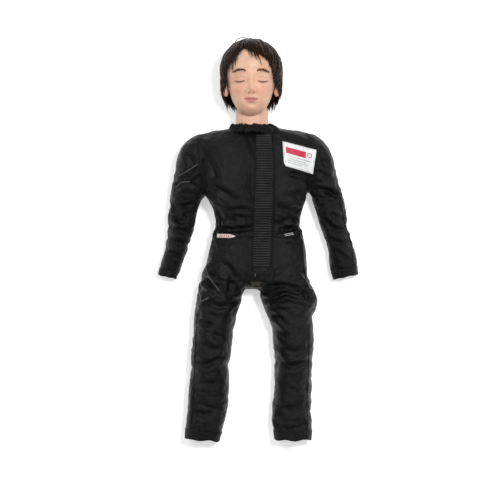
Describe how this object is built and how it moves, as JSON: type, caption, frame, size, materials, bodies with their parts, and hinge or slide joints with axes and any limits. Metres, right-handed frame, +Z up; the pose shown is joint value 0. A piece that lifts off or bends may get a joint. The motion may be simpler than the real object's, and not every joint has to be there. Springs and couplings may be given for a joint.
{
  "type": "rescue training manikin",
  "caption": "Child-size jointed training manikin in a long-sleeved coverall, with soft padded limbs, a wig and a plain calm face, lying on its back.",
  "frame": {"origin": "bottom centre of the bounding box, on the floor that the manikin lies on", "axes": "+Z up, out of the front of the body; +Y towards the head; +X towards the manikin's left side"},
  "size_m": [0.5244, 1.0522, 0.1829],
  "materials": {
    "coverall_cloth": "matte",
    "trim_cloth": "matte",
    "ribbed_webbing": "matte",
    "padding": "matte",
    "silicone_skin": "satin",
    "wig_hair": "satin",
    "brow_hair": "matte",
    "label_cloth": "matte",
    "label_band": "matte",
    "woven_tape": "matte",
    "gusset_patch": "matte",
    "lining": "matte",
    "skull_shell": "matte"
  },
  "bodies": {
    "chest": {"jacket_shell": "coverall_cloth", "chest_core": "padding", "abdomen_roll": "coverall_cloth", "collar_band": "trim_cloth", "placket_chest": "ribbed_webbing", "placket_waist": "ribbed_webbing", "placket_underflap": "trim_cloth", "chest_label": "label_cloth", "label_band": "label_band"},
    "pelvis": {"trouser_seat": "coverall_cloth", "pelvis_core": "padding", "placket_fly": "ribbed_webbing", "placket_bar": "trim_cloth", "waist_channel_left": "trim_cloth", "waist_channel_right": "trim_cloth", "care_label": "woven_tape", "size_tag": "trim_cloth", "crotch_gusset": "gusset_patch"},
    "neck": {"neck_sleeve": "silicone_skin"},
    "head": {"head_skin": "silicone_skin", "skull_core": "skull_shell", "hair_cap": "wig_hair", "ear_left": "silicone_skin", "ear_right": "silicone_skin", "brow_left": "brow_hair", "brow_right": "brow_hair", "crown_loop": "trim_cloth"},
    "shoulder_link_left": {"shoulder_gusset_left": "coverall_cloth"},
    "upper_arm_left": {"upper_sleeve_left": "coverall_cloth", "upper_arm_core_left": "padding", "elbow_pad_left": "coverall_cloth"},
    "forearm_left": {"lower_sleeve_left": "coverall_cloth", "forearm_core_left": "padding", "cuff_band_left": "trim_cloth", "cuff_liner_left": "lining"},
    "hip_link_left": {"hip_gusset_left": "coverall_cloth"},
    "thigh_left": {"thigh_sleeve_left": "coverall_cloth", "thigh_core_left": "padding", "knee_pad_left": "coverall_cloth"},
    "shin_left": {"shin_sleeve_left": "coverall_cloth", "shin_core_left": "padding", "hem_band_left": "trim_cloth"},
    "shoulder_link_right": {"shoulder_gusset_right": "coverall_cloth"},
    "upper_arm_right": {"upper_sleeve_right": "coverall_cloth", "upper_arm_core_right": "padding", "elbow_pad_right": "coverall_cloth"},
    "forearm_right": {"lower_sleeve_right": "coverall_cloth", "forearm_core_right": "padding", "cuff_band_right": "trim_cloth", "cuff_liner_right": "lining"},
    "hip_link_right": {"hip_gusset_right": "coverall_cloth"},
    "thigh_right": {"thigh_sleeve_right": "coverall_cloth", "thigh_core_right": "padding", "knee_pad_right": "coverall_cloth"},
    "shin_right": {"shin_sleeve_right": "coverall_cloth", "shin_core_right": "padding", "hem_band_right": "trim_cloth"}
  },
  "joints": [
    {"name": "waist_bend", "type": "hinge", "parent": "chest", "child": "pelvis", "pos_m": [-0.00073, 0.03486, 0.057], "axis": [1, 0, 0], "range_deg": [-40, 8]},
    {"name": "neck_nod", "type": "hinge", "parent": "chest", "child": "neck", "pos_m": [-0.01573, 0.29686, 0.07], "axis": [1, 0, 0], "range_deg": [-15, 25]},
    {"name": "head_turn", "type": "hinge", "parent": "neck", "child": "head", "pos_m": [-0.01573, 0.29686, 0.07], "axis": [0, 1, 0], "range_deg": [-50, 50]},
    {"name": "shoulder_flex_left", "type": "hinge", "parent": "chest", "child": "shoulder_link_left", "pos_m": [0.15526, 0.20486, 0.062], "axis": [-1, 0, 0], "range_deg": [-20, 120]},
    {"name": "shoulder_spread_left", "type": "hinge", "parent": "shoulder_link_left", "child": "upper_arm_left", "pos_m": [0.15526, 0.20486, 0.062], "axis": [0, 0, 1], "range_deg": [0, 75]},
    {"name": "elbow_bend_left", "type": "hinge", "parent": "upper_arm_left", "child": "forearm_left", "pos_m": [0.19726, 0.04686, 0.036], "axis": [-0.9714, -0.2376, 0], "range_deg": [0, 90]},
    {"name": "hip_flex_left", "type": "hinge", "parent": "pelvis", "child": "hip_link_left", "pos_m": [0.07426, -0.09314, 0.06], "axis": [-1, 0, 0], "range_deg": [-5, 70]},
    {"name": "hip_spread_left", "type": "hinge", "parent": "hip_link_left", "child": "thigh_left", "pos_m": [0.07426, -0.09314, 0.06], "axis": [0, 0, 1], "range_deg": [0, 20]},
    {"name": "knee_bend_left", "type": "hinge", "parent": "thigh_left", "child": "shin_left", "pos_m": [0.09126, -0.30814, 0.047], "axis": [0.9993, 0.0371, 0], "range_deg": [0, 90]},
    {"name": "shoulder_flex_right", "type": "hinge", "parent": "chest", "child": "shoulder_link_right", "pos_m": [-0.16873, 0.20486, 0.062], "axis": [-1, 0, 0], "range_deg": [-20, 120]},
    {"name": "shoulder_spread_right", "type": "hinge", "parent": "shoulder_link_right", "child": "upper_arm_right", "pos_m": [-0.16873, 0.20486, 0.062], "axis": [0, 0, -1], "range_deg": [0, 75]},
    {"name": "elbow_bend_right", "type": "hinge", "parent": "upper_arm_right", "child": "forearm_right", "pos_m": [-0.20073, 0.04186, 0.034], "axis": [-0.9758, 0.2187, 0], "range_deg": [0, 90]},
    {"name": "hip_flex_right", "type": "hinge", "parent": "pelvis", "child": "hip_link_right", "pos_m": [-0.08773, -0.09314, 0.06], "axis": [-1, 0, 0], "range_deg": [-5, 70]},
    {"name": "hip_spread_right", "type": "hinge", "parent": "hip_link_right", "child": "thigh_right", "pos_m": [-0.08773, -0.09314, 0.06], "axis": [0, 0, -1], "range_deg": [0, 20]},
    {"name": "knee_bend_right", "type": "hinge", "parent": "thigh_right", "child": "shin_right", "pos_m": [-0.12373, -0.30814, 0.047], "axis": [0.9909, -0.1345, 0], "range_deg": [0, 90]}
  ]
}
